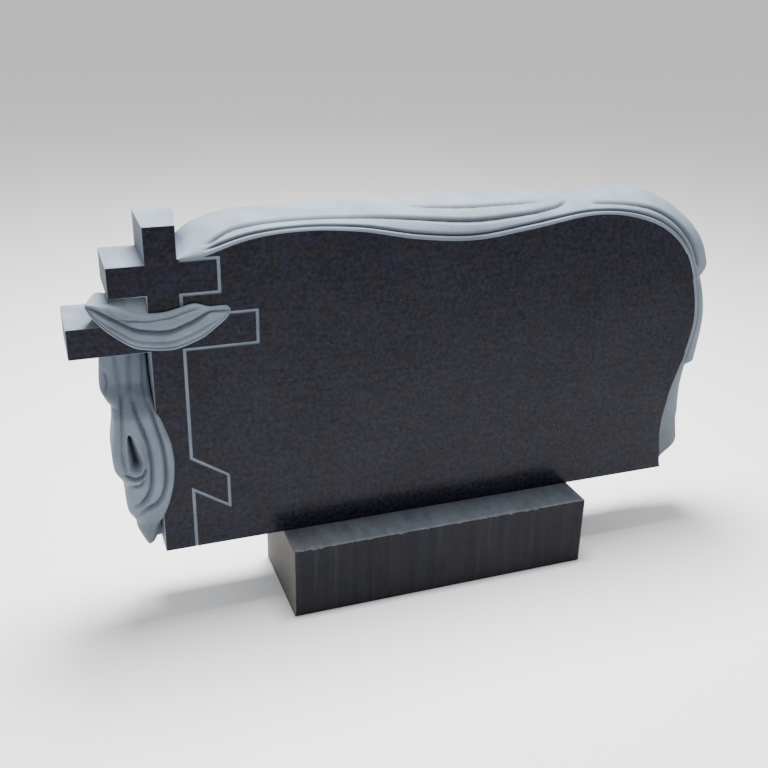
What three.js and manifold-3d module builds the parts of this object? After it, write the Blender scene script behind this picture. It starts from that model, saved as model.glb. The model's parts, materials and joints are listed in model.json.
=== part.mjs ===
// A black granite headstone on a low plinth. The headstone is one block: a wide slab, a three-bar
// cross at its left end, and one carved cloth that runs along the top and down the right side, is
// wound over the cross's lower bar and hangs down beside its foot.
// Millimetres. X runs to the viewer's right, Y away from the viewer and Z up.

import * as THREE from 'three';
import Module from 'manifold-3d';
import { mergeVertices } from 'three/addons/utils/BufferGeometryUtils.js';

const wasm = await Module();
wasm.setup();

// Slab
const slabWidth = 1000;
const slabThickness = 119;
const blockHeight = 571;
const crestBelowTop = 3;
const crestFall = 6;

// Cross, with its reaches measured from the upright's own sides
const uprightWidth = 50;
const uprightDraft = 15;
const uprightHead = 59;
const barHeight = 50;
const barSpacing = 92;
const topBarLeft = 58;
const topBarRight = 61;
const lowBarLeft = 125;
const lowBarRight = 120;
const footBarTop = 172;
const footBarHeight = 60;
const footBarReach = 61;
const footBarDrop = 41;
const lineWidth = 5.5;
const lineDepth = 2;

// Cloth along the top and the right side
const clothDepth = 101;
const clothStartDistance = 90;
const shoulderLength = 130;
const shoulderDrop = 46;
const sideReach = 84;
const cornerStartDistance = 220;
const cornerEndDistance = 120;
const firstGroove = 10;
const secondGroove = 40;
const grooveHalfWidth = 4.5;
const grooveDepth = 6;
const clothStations = 104;

// Ends of the cloth's layers on the right side, measured up its edge from the slab's foot, and how
// far each steps back and over what length the next layer swells out again
const firstLayerHeight = 405;
const firstLayerStep = 29;
const firstLayerSwell = 168;
const secondLayerHeight = 232;
const secondLayerStep = 30;
const secondLayerSwell = 112;
const layerEndLength = 11;
const lastLayerHeight = 27;
const lastLayerLength = 15;

// Cloth wound over the lower bar
const swagLeft = 92;
const swagLength = 222;
const swagRelief = 13;
const swagLip = 28;
const swagLap = 2;
const swagStations = 34;

// Cloth hanging beside the foot of the cross
const hangTip = 4;
const hangLap = 8;
const hangReach = 84;
const hangOverSlab = 24.5;
const hangDepth = 108;
const hangJoint = 6;
const hangLeftRound = 22;
const hangRightRound = 10;
const hangFoldDepth = 9;
const hangFoldWidth = 14;
const hangLoopDepth = 24;
const hangLoopWidth = 28;
const hangLevels = 60;
const hangFrontPoints = 24;

// Plinth
const plinthLength = 577;
const plinthDepth = 202;
const plinthHeight = 137;
const plinthArris = 2;
const plinthFromLeft = 208;
const frontLedge = 69;

const polishedGranite = { color: '#2c2d31', roughness: 0.28, metalness: 0.0 };
const honedGranite = { color: '#3a3c42', roughness: 0.5, metalness: 0.0 };

// Heights shared by the cross, the engraved lines and the cloth
const crestHeight = blockHeight - crestBelowTop;
const topBarTop = blockHeight - uprightHead;
const topBarUnderside = topBarTop - barHeight;
const lowBarUnderside = topBarUnderside - barSpacing;
const lowBarTop = lowBarUnderside + barHeight;
const clothFoot = topBarTop + lineWidth;

const mix = THREE.MathUtils.lerp;
const smooth = THREE.MathUtils.smoothstep;

// Smooth curve through [place, value] rows that never swings past the rows on either side
function curveAt(rows, place) {
  const last = rows.length - 1;
  if (place <= rows[0][0]) return rows[0][1];
  if (place >= rows[last][0]) return rows[last][1];
  const slope = (i) => (rows[i + 1][1] - rows[i][1]) / (rows[i + 1][0] - rows[i][0]);
  const tangent = (i) => {
    if (i === 0 || i === last) return slope(Math.min(i, last - 1));
    const before = slope(i - 1);
    const after = slope(i);
    return before * after <= 0 ? 0 : 2 * before * after / (before + after);
  };
  const i = rows.findIndex(([at]) => at > place) - 1;
  const width = rows[i + 1][0] - rows[i][0];
  const t = (place - rows[i][0]) / width;
  const rise = t * t * (3 - 2 * t);
  const bend = width * (t * (1 - t) ** 2 * tangent(i) - t * t * (1 - t) * tangent(i + 1));
  return mix(rows[i][1], rows[i + 1][1], rise) + bend;
}

function solidOf(positions, indices) {
  return new wasm.Manifold(new wasm.Mesh({
    numProp: 3,
    vertProperties: new Float32Array(positions),
    triVerts: new Uint32Array(indices),
  }));
}

// Closed body over rings of equal length, capped at both ends. Seen from before the first ring,
// every ring runs counter-clockwise in the plane of the two named axes.
function solidFromRings(rings, [across, up]) {
  const count = rings[0].length;
  const positions = rings.flat().flatMap((point) => point.toArray());
  const indices = [];
  for (let level = 0; level + 1 < rings.length; level += 1) {
    for (let i = 0; i < count; i += 1) {
      const next = (i + 1) % count;
      const near = level * count;
      const far = near + count;
      indices.push(near + i, far + i, near + next, near + next, far + i, far + next);
    }
  }
  const capOf = (ring) => THREE.ShapeUtils.triangulateShape(
    ring.map((point) => new THREE.Vector2(point[across], point[up])), [],
  );
  const last = (rings.length - 1) * count;
  for (const [a, b, c] of capOf(rings[0])) indices.push(a, b, c);
  for (const [a, b, c] of capOf(rings[rings.length - 1])) indices.push(last + a, last + c, last + b);
  return solidOf(positions, indices);
}

function geometryOf(solid) {
  const result = solid.getMesh();
  const geometry = new THREE.BufferGeometry();
  geometry.setAttribute('position', new THREE.BufferAttribute(result.vertProperties, 3));
  geometry.setIndex(new THREE.BufferAttribute(result.triVerts, 1));
  geometry.computeVertexNormals();
  geometry.computeBoundingBox();
  return geometry;
}

// Front edge of the cloth, from the top bar along the top and down the right side to the foot.
// Each row is a share of the slab's width and of the crest's height.
const clothEdge = new THREE.CatmullRomCurve3([
  new THREE.Vector3(clothStartDistance, 0, clothFoot),
  ...[
    [0.165, 0.95], [0.25, 0.963], [0.345, 0.95], [0.45, 0.914], [0.553, 0.898], [0.665, 0.919],
    [0.785, 0.947], [0.865, 0.931], [0.935, 0.884], [0.985, 0.806], [1.015, 0.69],
    [1.029, 0.56], [1.018, 0.43], [0.996, 0.29], [0.986, 0.167], [0.992, 0.069], [1, 0],
  ].map(([across, up]) => new THREE.Vector3(across * slabWidth, 0, up * crestHeight)),
], false, 'centripetal');

const shareUpEdge = (length) => 1 - length / clothEdge.getLength();

// Shares of the cloth's front edge, and of the reach, place or depth that each curve is about
const reachAlong = [[0.57, 0.5], [0.65, 0.74], [0.69, 0.9], [0.82, 0.87], [0.9, 0.96], [1, 1.04]];
const secondPlaceAlong = [
  [0.01, 0.5], [0.04, 0.8], [0.17, 0.83], [0.25, 0.98], [0.42, 0.78], [0.455, 0.9], [0.48, 1.2],
  [0.505, 0.85], [0.57, 0.73], [0.65, 0.58], [0.69, 0.5],
];
const firstDepthAlong = [[0, 0], [0.02, 1], [0.65, 1], [0.69, 0.5], [0.82, 0.5], [0.84, 0]];
const secondDepthAlong = [
  [0, 0], [0.02, 1], [0.465, 1], [0.48, 0], [0.5, 0], [0.52, 1], [0.69, 1], [0.7, 0],
];

const layerEnds = [
  { up: firstLayerHeight, step: firstLayerStep, swell: firstLayerSwell },
  { up: secondLayerHeight, step: secondLayerStep, swell: secondLayerSwell },
];

// Height of the cloth's crest: it falls to the notch beside the cross, and a little to the right
function crestAt(x) {
  const toShoulder = (uprightWidth + uprightDraft + shoulderLength - x) / shoulderLength;
  const fallen = THREE.MathUtils.clamp(toShoulder, 0, 1);
  const level = crestHeight - crestFall * smooth(x, 0.45 * slabWidth, 0.8 * slabWidth);
  return level - shoulderDrop * (1 - Math.sqrt(1 - fallen * fallen));
}

// Place, reach and grooves of the cloth at one share of its edge
function clothStation(share) {
  const foot = clothEdge.getPointAt(share);
  const along = clothEdge.getTangentAt(share);
  const turned = smooth(foot.x, slabWidth - cornerStartDistance, slabWidth - cornerEndDistance);
  const outward = new THREE.Vector3(-along.z * turned, 0, mix(1, along.x, turned)).normalize();
  const up = (1 - share) * clothEdge.getLength();
  let sideways = sideReach * curveAt(reachAlong, share);
  for (const end of layerEnds) {
    const left = THREE.MathUtils.clamp(1 - (end.up - up) / end.swell, 0, 1);
    const past = 1 - smooth(up, end.up - layerEndLength / 2, end.up + layerEndLength / 2);
    sideways -= end.step * left * past;
  }
  const toCrest = (crestAt(foot.x) - foot.z) / Math.max(outward.z, 0.1);
  const reach = Math.min(mix(toCrest, sideways, turned), toCrest);
  const present = smooth(up, lastLayerHeight - lastLayerLength / 2, lastLayerHeight + lastLayerLength / 2);
  return {
    foot,
    outward,
    reach: present * reach,
    second: secondGroove * curveAt(secondPlaceAlong, share),
    firstDepth: grooveDepth * curveAt(firstDepthAlong, share),
    secondDepth: grooveDepth * curveAt(secondDepthAlong, share),
  };
}

// Angle of the cloth's quarter-oval section at which its arc has the given length
function angleAtArc(reach, length) {
  const step = Math.PI / 360;
  let travelled = 0;
  let angle = 0;
  while (travelled < length && angle < Math.PI / 2 - step) {
    travelled += Math.hypot(reach * Math.cos(angle), clothDepth * Math.sin(angle)) * step;
    angle += step;
  }
  return angle;
}

// Section of the cloth: a quarter oval from the polished face, with its grooves, and a rounding
// into the rear face
function clothSection({ foot, outward, reach, second, firstDepth, secondDepth }) {
  const rows = [
    [0, 0],
    [0.5 * (firstGroove - grooveHalfWidth), 0],
    [firstGroove - grooveHalfWidth, 0],
    [firstGroove, firstDepth],
    [firstGroove + grooveHalfWidth, 0],
    [mix(firstGroove + grooveHalfWidth, second - grooveHalfWidth, 0.5), 0],
    [second - grooveHalfWidth, 0],
    [second, secondDepth],
    [second + grooveHalfWidth, 0],
  ].map(([arc, depth]) => [angleAtArc(reach, arc), depth]);
  const lastAngle = rows[rows.length - 1][0];
  for (const share of [0.3, 0.6, 1]) rows.push([mix(lastAngle, Math.PI / 2, share), 0]);
  const profile = rows.map(([angle, depth]) => {
    const forward = reach * Math.cos(angle);
    const sideways = clothDepth * Math.sin(angle);
    const length = Math.hypot(forward, sideways) || 1;
    return [
      reach * Math.sin(angle) - depth * sideways / length,
      clothDepth * (1 - Math.cos(angle)) + depth * forward / length,
    ];
  });
  const rounding = slabThickness - clothDepth;
  for (const turn of [Math.PI / 6, Math.PI / 3, Math.PI / 2]) {
    profile.push([
      reach - Math.min(rounding, reach) * (1 - Math.cos(turn)),
      clothDepth + rounding * Math.sin(turn),
    ]);
  }
  return profile.map(([out, back]) => (
    new THREE.Vector3(foot.x + outward.x * out, back, foot.z + outward.z * out)
  ));
}

const sectionCount = clothSection(clothStation(0)).length;

// Straight section from the polished face back to the rear face, leaning out by the given amounts
function plainSection(x, z, leanX = 0, leanZ = 0) {
  return Array.from({ length: sectionCount }, (_, i) => {
    const share = i / (sectionCount - 1);
    return new THREE.Vector3(x + leanX * share, slabThickness * share, z + leanZ * share);
  });
}

// Left end of the cloth, above the top bar: it leans with the upright's side
function clothEndSection(share) {
  const lean = uprightDraft * Math.max(0, 1 - share);
  const x = mix(uprightWidth, clothStartDistance, share);
  const outward = new THREE.Vector3(lean, 0, crestAt(x + lean) - clothFoot);
  return clothSection({
    foot: new THREE.Vector3(x, 0, clothFoot),
    outward: outward.clone().normalize(),
    reach: outward.length(),
    second: clothStation(0).second,
    firstDepth: 0,
    secondDepth: 0,
  });
}

// Sections around the slab, the cross and the top cloth, counter-clockwise seen from the front
function blockSections() {
  const layerShares = [
    [firstLayerHeight, layerEndLength],
    [secondLayerHeight, layerEndLength],
    [lastLayerHeight, lastLayerLength],
  ].flatMap(([up, length]) => (
    [-0.5, -0.25, 0, 0.25, 0.5].map((step) => shareUpEdge(up + step * length))
  ));
  const evenShares = Array.from({ length: clothStations + 1 }, (_, i) => i / clothStations)
    .filter((share) => layerShares.every((other) => Math.abs(share - other) > 0.2 / clothStations));
  const downward = [...evenShares, ...layerShares].sort((a, b) => b - a);
  const notch = crestAt(uprightWidth + uprightDraft) - clothFoot;
  return [
    plainSection(0, 0),
    plainSection(slabWidth / 2, 0),
    ...downward.map((share) => clothSection(clothStation(share))),
    ...[0.72, 0.4, 0.15].map(clothEndSection),
    plainSection(uprightWidth, clothFoot, uprightDraft, notch),
    plainSection(uprightWidth, blockHeight, uprightDraft),
    plainSection(0, blockHeight),
    plainSection(0, topBarTop),
    plainSection(-topBarLeft, topBarTop),
    plainSection(-topBarLeft, topBarUnderside),
    plainSection(0, topBarUnderside),
    plainSection(0, lowBarTop),
    plainSection(-lowBarLeft, lowBarTop),
    plainSection(-lowBarLeft, lowBarUnderside),
    plainSection(0, lowBarUnderside),
  ];
}

function blockSolid() {
  const sections = blockSections();
  const rings = Array.from({ length: sectionCount }, (_, i) => sections.map((section) => section[i]));
  return solidFromRings(rings, ['x', 'z']);
}

// Engraved line that draws the right half of the cross on the slab's face
function engravedLine() {
  const half = lineWidth / 2;
  const inner = uprightWidth + half;
  const topEnd = inner + topBarRight;
  const lowEnd = inner + lowBarRight;
  const footEnd = inner + footBarReach;
  const route = [
    [inner, topBarTop + half],
    [topEnd, topBarTop + half],
    [topEnd, topBarUnderside - half],
    [inner, topBarUnderside - half],
    [inner, lowBarTop + half],
    [lowEnd, lowBarTop + half],
    [lowEnd, lowBarUnderside - half],
    [inner, lowBarUnderside - half],
    [inner, footBarTop],
    [footEnd, footBarTop - footBarDrop],
    [footEnd, footBarTop - footBarDrop - footBarHeight],
    [inner, footBarTop - footBarHeight],
    [inner, -half],
  ].map(([x, z]) => new THREE.Vector2(x, z));
  const leftSide = [];
  const rightSide = [];
  route.forEach((point, i) => {
    const before = point.clone().sub(route[Math.max(0, i - 1)]).normalize();
    const after = route[Math.min(route.length - 1, i + 1)].clone().sub(point).normalize();
    const into = i === 0 ? after : before;
    const away = i === route.length - 1 ? before : after;
    const aside = new THREE.Vector2(-into.y - away.y, into.x + away.x).normalize();
    const mitre = half / aside.dot(new THREE.Vector2(-into.y, into.x));
    leftSide.push(point.clone().addScaledVector(aside, mitre));
    rightSide.unshift(point.clone().addScaledVector(aside, -mitre));
  });
  const cutter = new THREE.ExtrudeGeometry(
    new THREE.Shape([...leftSide, ...rightSide]),
    { depth: 2 * lineDepth, bevelEnabled: false },
  );
  cutter.rotateX(Math.PI / 2);
  cutter.translate(0, lineDepth, 0);
  cutter.deleteAttribute('normal');
  cutter.deleteAttribute('uv');
  const merged = mergeVertices(cutter);
  return solidOf(merged.attributes.position.array, merged.index.array);
}

// Cloth over the lower bar. Each row is a share of the swag's length from its left end, and a share
// of the height from the underside of the lower bar to the underside of the top bar.
const swagLower = [
  [0, 0.88], [0.03, 0.74], [0.16, 0.38], [0.34, 0.09], [0.55, 0.02], [0.76, 0.16], [0.9, 0.38],
  [0.97, 0.51], [1, 0.62],
];
const swagGroove = [
  [0, 0.92], [0.05, 0.88], [0.16, 0.71], [0.35, 0.45], [0.53, 0.39], [0.69, 0.5], [0.86, 0.66],
  [1, 0.64],
];
const swagUpper = [
  [0, 0.96], [0.1, 0.95], [0.41, 0.71], [0.5, 0.7], [0.62, 0.75], [0.74, 0.81], [0.86, 0.73],
  [0.96, 0.73], [1, 0.66],
];
const swagBehind = [[0, 0.92], [0.03, 0.98], [0.06, 1.03], [0.1, 1.05], [0.16, 1.03], [1, 1.02]];
// How far back the cloth lies on the bar, as a share of the top cloth's depth
const swagRear = [[0, 0.12], [0.05, 0.4], [0.12, 0.75], [0.16, 1]];

function swagSolid() {
  const span = topBarUnderside - lowBarUnderside;
  const rings = [];
  for (let i = 0; i <= swagStations; i += 1) {
    const share = 0.5 - 0.5 * Math.cos(Math.PI * i / swagStations);
    const x = share * swagLength - swagLeft;
    const relief = swagRelief * Math.min(1, 0.05 + 3 * Math.sqrt(share), 0.05 + 2.2 * Math.sqrt(1 - share));
    const lower = lowBarUnderside + span * curveAt(swagLower, share);
    const groove = lowBarUnderside + span * curveAt(swagGroove, share);
    const upper = lowBarUnderside + span * curveAt(swagUpper, share);
    const rear = clothDepth * curveAt(swagRear, share);
    const behind = lowBarUnderside + span * curveAt(swagBehind, share);
    const underBar = smooth(x, -topBarLeft, -0.6 * topBarLeft);
    const falling = Math.max(lower + 0.03 * span, mix(lowBarTop, upper, 0.4));
    const high = mix(falling, topBarUnderside + swagLap, underBar);
    const section = [
      [rear, Math.max(lower, mix(lowBarUnderside, lowBarTop, 0.9))],
      [lineDepth, lower],
      [-0.35 * relief, mix(lower, groove, 0.04)],
      [-0.62 * relief, mix(lower, groove, 0.12)],
      [-0.5 * relief, mix(lower, groove, 0.22)],
      [-0.9 * relief, mix(lower, groove, 0.4)],
      [-relief, mix(lower, groove, 0.68)],
      [-0.5 * relief, groove],
      [-0.92 * relief, mix(groove, upper, 0.35)],
      [-0.75 * relief, mix(groove, upper, 0.75)],
      [lineDepth, upper],
      [Math.min(0.5 * rear, swagLip), behind],
      [rear, high],
    ];
    rings.push(section.map(([y, z]) => new THREE.Vector3(x, y, z)));
  }
  return solidFromRings(rings, ['z', 'y']);
}

// Hanging cloth. Each row is a share of its height from the tip, and a share of its greatest reach
// to the left, of its reach over the slab's front edge, or of its depth.
const hangLeft = [
  [0, 0.33], [0.046, 0.42], [0.097, 0.5], [0.148, 0.53], [0.173, 0.58], [0.218, 0.67],
  [0.272, 0.69], [0.348, 0.67], [0.383, 0.75], [0.429, 0.86], [0.48, 0.88], [0.628, 0.8],
  [0.72, 0.79], [0.744, 0.87], [0.79, 0.96], [0.871, 0.93], [1, 0.85],
];
const hangRight = [
  [0, -0.85], [0.04, -0.5], [0.1, -0.25], [0.148, -0.1], [0.165, 0.08], [0.2, 0.25], [0.245, 0.5],
  [0.3, 0.72], [0.361, 0.9], [0.44, 1], [0.53, 0.9], [0.623, 0.53], [0.709, 0.14], [0.741, 0],
  [0.79, -0.06], [1, -0.1],
];
const hangFront = [
  [0, 0.14], [0.12, 0.1], [0.155, 0.02], [0.19, -0.03], [0.25, -0.06], [0.358, -0.083],
  [0.547, -0.083], [0.668, -0.046], [0.749, 0.13], [0.817, 0.33], [1, 0.48],
];

// Carved lines of the hanging cloth: the loop's opening, the folds that run down from the bar and
// round the loop, the groove near the left edge and the short creases. Each has its width at its
// start and at its end, its depth, and its course in shares of the greatest reach to the left and
// of the height.
const hangStrokes = [
  {
    widths: [0.3 * hangLoopWidth, hangLoopWidth],
    depth: hangLoopDepth,
    course: [[-0.54, 0.61], [-0.5, 0.54], [-0.46, 0.485], [-0.44, 0.45]],
  },
  {
    widths: [hangFoldWidth, hangFoldWidth],
    depth: hangFoldDepth,
    course: [
      [-0.415, 0.79], [-0.375, 0.703], [-0.26, 0.615], [-0.19, 0.539], [-0.17, 0.43],
      [-0.235, 0.327], [-0.41, 0.272], [-0.65, 0.251],
    ],
  },
  {
    widths: [0.9 * hangFoldWidth, hangFoldWidth],
    depth: hangFoldDepth,
    course: [
      [-0.14, 0.76], [-0.05, 0.67], [0.037, 0.585], [0.1, 0.48], [0.087, 0.368],
      [0.02, 0.305], [-0.1, 0.262], [-0.367, 0.23], [-0.552, 0.2],
    ],
  },
  {
    widths: [0.9 * hangFoldWidth, 0.9 * hangFoldWidth],
    depth: 0.8 * hangFoldDepth,
    course: [[-0.6, 0.8], [-0.61, 0.754], [-0.664, 0.636], [-0.7, 0.515], [-0.65, 0.43]],
  },
  {
    widths: [0.9 * hangFoldWidth, 0.7 * hangFoldWidth],
    depth: 0.8 * hangFoldDepth,
    course: [[-0.72, 0.43], [-0.5, 0.4], [-0.34, 0.408], [-0.26, 0.45]],
  },
  {
    widths: [0.7 * hangFoldWidth, 0.7 * hangFoldWidth],
    depth: 0.6 * hangFoldDepth,
    course: [[-0.667, 0.36], [-0.415, 0.365], [-0.3, 0.39]],
  },
  {
    widths: [0.7 * hangFoldWidth, 0.7 * hangFoldWidth],
    depth: 0.7 * hangFoldDepth,
    course: [[-0.91, 0.77], [-0.82, 0.815], [-0.84, 0.87]],
  },
];
const hangLines = hangStrokes.map(({ course }) => {
  const corners = course.map(([across, up]) => new THREE.Vector3(
    across * hangReach, 0, mix(hangTip, lowBarUnderside + hangLap, up),
  ));
  return new THREE.CatmullRomCurve3(corners, false, 'centripetal').getSpacedPoints(40);
});

// Depth that the carved lines cut into the hanging cloth; each line fades in and out at its ends
function hangFold(x, z) {
  let deepest = 0;
  hangStrokes.forEach(({ widths, depth }, stroke) => {
    hangLines[stroke].forEach((point, i, line) => {
      const share = i / (line.length - 1);
      const half = mix(widths[0], widths[1], share) / 2;
      const near = Math.max(0, 1 - Math.hypot(x - point.x, z - point.z) / half);
      const present = smooth(share, -0.05, 0.15) * (1 - smooth(share, 0.85, 1.05));
      deepest = Math.max(deepest, depth * present * near ** 1.3);
    });
  });
  return deepest;
}

function hangSolid() {
  const top = lowBarUnderside + hangLap;
  const rings = [];
  for (let i = 0; i <= hangLevels; i += 1) {
    const share = 1 - i / hangLevels;
    const z = mix(hangTip, top, share);
    const left = -hangReach * curveAt(hangLeft, share);
    const right = hangOverSlab * curveAt(hangRight, share);
    const front = hangDepth * curveAt(hangFront, share);
    const section = [];
    for (let j = 0; j <= hangFrontPoints; j += 1) {
      const across = j / hangFrontPoints;
      const x = mix(left, right, across);
      const fromLeft = Math.max(0, 1 - (x - left) / hangLeftRound);
      const fromRight = Math.max(0, 1 - (right - x) / hangRightRound);
      const rounded = hangLeftRound * (1 - Math.sqrt(1 - fromLeft * fromLeft))
        + hangRightRound * (1 - Math.sqrt(1 - fromRight * fromRight));
      const inside = Math.min(1, 4 * across, 6 * (1 - across));
      section.push([x, front + rounded + inside * hangFold(x, z)]);
    }
    const side = Math.min(0.95 * hangDepth, front + hangRightRound + 0.22 * hangDepth);
    const rear = mix(Math.max(side + 2, 0.6 * hangDepth), hangDepth, smooth(share, 0, 0.33));
    section.push(
      [right, side],
      [hangJoint, mix(side, rear, 0.3)],
      [hangJoint, rear],
      [mix(left, hangJoint, 0.25), rear],
      [mix(left, hangJoint, 0.04), mix(section[0][1], rear, 0.75)],
    );
    rings.push(section.map(([x, y]) => new THREE.Vector3(x, y, z)));
  }
  return solidFromRings(rings, ['x', 'y']);
}

// Sawn block with a narrow arris round its top
function plinthSolid() {
  const ring = (inset, z) => [[0, 0], [1, 0], [1, 1], [0, 1]].map(([a, b]) => new THREE.Vector3(
    mix(inset, plinthLength - inset, a), mix(inset, plinthDepth - inset, b), z,
  ));
  return solidFromRings(
    [ring(plinthArris, plinthHeight), ring(0, plinthHeight - plinthArris), ring(0, 0)],
    ['x', 'y'],
  );
}

const headstoneSolid = blockSolid().subtract(engravedLine()).add(swagSolid()).add(hangSolid());
const headstone = new THREE.Mesh(
  geometryOf(headstoneSolid),
  new THREE.MeshStandardMaterial(polishedGranite),
);
headstone.name = 'headstone_slab';

const plinth = new THREE.Mesh(
  geometryOf(plinthSolid()),
  new THREE.MeshStandardMaterial(honedGranite),
);
plinth.name = 'plinth';

// The whole stands centred on the origin, with the plinth's underside on the ground
const { min, max } = headstone.geometry.boundingBox;
const middle = (min.x + max.x) / 2;
headstone.position.set(-middle, frontLedge - plinthDepth / 2, plinthHeight);
plinth.position.set(plinthFromLeft - middle, -plinthDepth / 2, 0);

const monument = new THREE.Group();
monument.add(headstone, plinth);

export default monument;
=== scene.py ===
"""Black granite headstone with a three-bar cross and a carved cloth, standing on a low plinth.

Lengths are metres. X runs to the viewer's right, Y away from the viewer and Z up, as in the CAD
solids. The carved block is built in its own frame, whose origin is the slab's lower left front
corner, and is then moved to where it stands on the plinth.
"""

import json
import logging
import math
from dataclasses import dataclass, field
from enum import Enum

import bpy
import numpy as np
from mathutils import Matrix, Vector

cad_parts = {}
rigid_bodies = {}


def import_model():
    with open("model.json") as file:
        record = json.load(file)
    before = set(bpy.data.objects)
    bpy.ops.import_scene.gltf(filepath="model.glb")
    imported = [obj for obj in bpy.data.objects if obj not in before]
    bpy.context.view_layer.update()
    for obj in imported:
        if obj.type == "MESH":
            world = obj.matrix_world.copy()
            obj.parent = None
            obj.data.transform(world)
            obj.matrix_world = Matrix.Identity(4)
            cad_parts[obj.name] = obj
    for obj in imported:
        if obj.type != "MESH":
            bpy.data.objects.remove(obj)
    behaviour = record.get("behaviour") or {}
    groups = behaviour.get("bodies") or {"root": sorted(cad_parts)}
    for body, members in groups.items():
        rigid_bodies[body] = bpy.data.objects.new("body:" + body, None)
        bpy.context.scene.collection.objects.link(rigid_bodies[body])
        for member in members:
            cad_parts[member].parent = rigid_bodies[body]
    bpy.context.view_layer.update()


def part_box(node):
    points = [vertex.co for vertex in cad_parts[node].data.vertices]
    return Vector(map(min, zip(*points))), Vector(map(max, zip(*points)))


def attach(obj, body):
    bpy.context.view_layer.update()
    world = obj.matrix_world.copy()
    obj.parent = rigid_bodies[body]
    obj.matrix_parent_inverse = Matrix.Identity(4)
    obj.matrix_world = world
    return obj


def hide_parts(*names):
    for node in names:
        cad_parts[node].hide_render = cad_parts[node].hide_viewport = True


log = logging.getLogger("headstone")

MM = 0.001
MERGE_DISTANCE = 1e-7
SPLINE_STEPS = 60


def fade(value: np.ndarray, start: float, end: float) -> np.ndarray:
    """Rises smoothly from 0 at start to 1 at end.

    Args:
        value: Places to look at.
        start: Place up to which the result is 0.
        end: Place from which the result is 1.

    Returns:
        The share at each place.
    """
    share = np.clip((np.asarray(value, float) - start) / (end - start), 0.0, 1.0)
    return share * share * (3.0 - 2.0 * share)


def blend(low: np.ndarray, high: np.ndarray, share: np.ndarray) -> np.ndarray:
    """Returns the value the given share of the way from low to high."""
    return low + (high - low) * share


class Rows:
    """Smooth curve through (place, value) rows that never swings past its neighbours."""

    def __init__(self, *rows: tuple[float, float]) -> None:
        """Keeps the rows and works out the slope at each.

        Args:
            rows: Places in rising order, each with its value.
        """
        self.places = np.array([row[0] for row in rows], float)
        self.values = np.array([row[1] for row in rows], float)
        slopes = np.diff(self.values) / np.diff(self.places)
        before, after = slopes[:-1], slopes[1:]
        both = before * after
        total = np.where(both > 0, before + after, 1.0)
        inner = np.where(both > 0, 2.0 * both / total, 0.0)
        self.slopes = np.concatenate([slopes[:1], inner, slopes[-1:]])

    def at(self, place: np.ndarray) -> np.ndarray:
        """Returns the curve's value at each place."""
        place = np.clip(np.asarray(place, float), self.places[0], self.places[-1])
        i = np.clip(np.searchsorted(self.places, place, side="right") - 1, 0, len(self.places) - 2)
        width = self.places[i + 1] - self.places[i]
        t = (place - self.places[i]) / width
        bend = width * (t * (1 - t) ** 2 * self.slopes[i] - t * t * (1 - t) * self.slopes[i + 1])
        return blend(self.values[i], self.values[i + 1], t * t * (3 - 2 * t)) + bend


def spline(points: list[tuple[float, float]], count: int) -> np.ndarray:
    """Centripetal spline through flat points, sampled at even steps of its length.

    Args:
        points: Corners (x, z) that the line passes through.
        count: Number of samples.

    Returns:
        Array of count rows (x, z).
    """
    knots = np.array(points, float)
    ends = np.vstack([2 * knots[0] - knots[1], knots, 2 * knots[-1] - knots[-2]])
    dense = []
    for p0, p1, p2, p3 in zip(ends, ends[1:], ends[2:], ends[3:]):
        t0 = 0.0
        t1 = t0 + np.linalg.norm(p1 - p0) ** 0.5
        t2 = t1 + np.linalg.norm(p2 - p1) ** 0.5
        t3 = t2 + np.linalg.norm(p3 - p2) ** 0.5
        t = np.linspace(t1, t2, SPLINE_STEPS, endpoint=False)[:, None]
        a1 = (t1 - t) / (t1 - t0) * p0 + (t - t0) / (t1 - t0) * p1
        a2 = (t2 - t) / (t2 - t1) * p1 + (t - t1) / (t2 - t1) * p2
        a3 = (t3 - t) / (t3 - t2) * p2 + (t - t2) / (t3 - t2) * p3
        b1 = (t2 - t) / (t2 - t0) * a1 + (t - t0) / (t2 - t0) * a2
        b2 = (t3 - t) / (t3 - t1) * a2 + (t - t1) / (t3 - t1) * a3
        dense.append((t2 - t) / (t2 - t1) * b1 + (t - t1) / (t2 - t1) * b2)
    line = np.vstack([*dense, knots[-1:]])
    travelled = np.concatenate([[0.0], np.cumsum(np.linalg.norm(np.diff(line, axis=0), axis=1))])
    places = np.linspace(0.0, travelled[-1], count)
    return np.stack([np.interp(places, travelled, line[:, k]) for k in (0, 1)], axis=1)


class Finish(Enum):
    """The finishes of the carved block, in the order of their material slots."""

    POLISHED = 0
    FROSTED = 1
    SAWN = 2


class PlinthFinish(Enum):
    """The finishes of the plinth, in the order of their material slots."""

    FRONT = 0
    TOP = 1
    ENDS = 2
    ARRIS = 3


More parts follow.
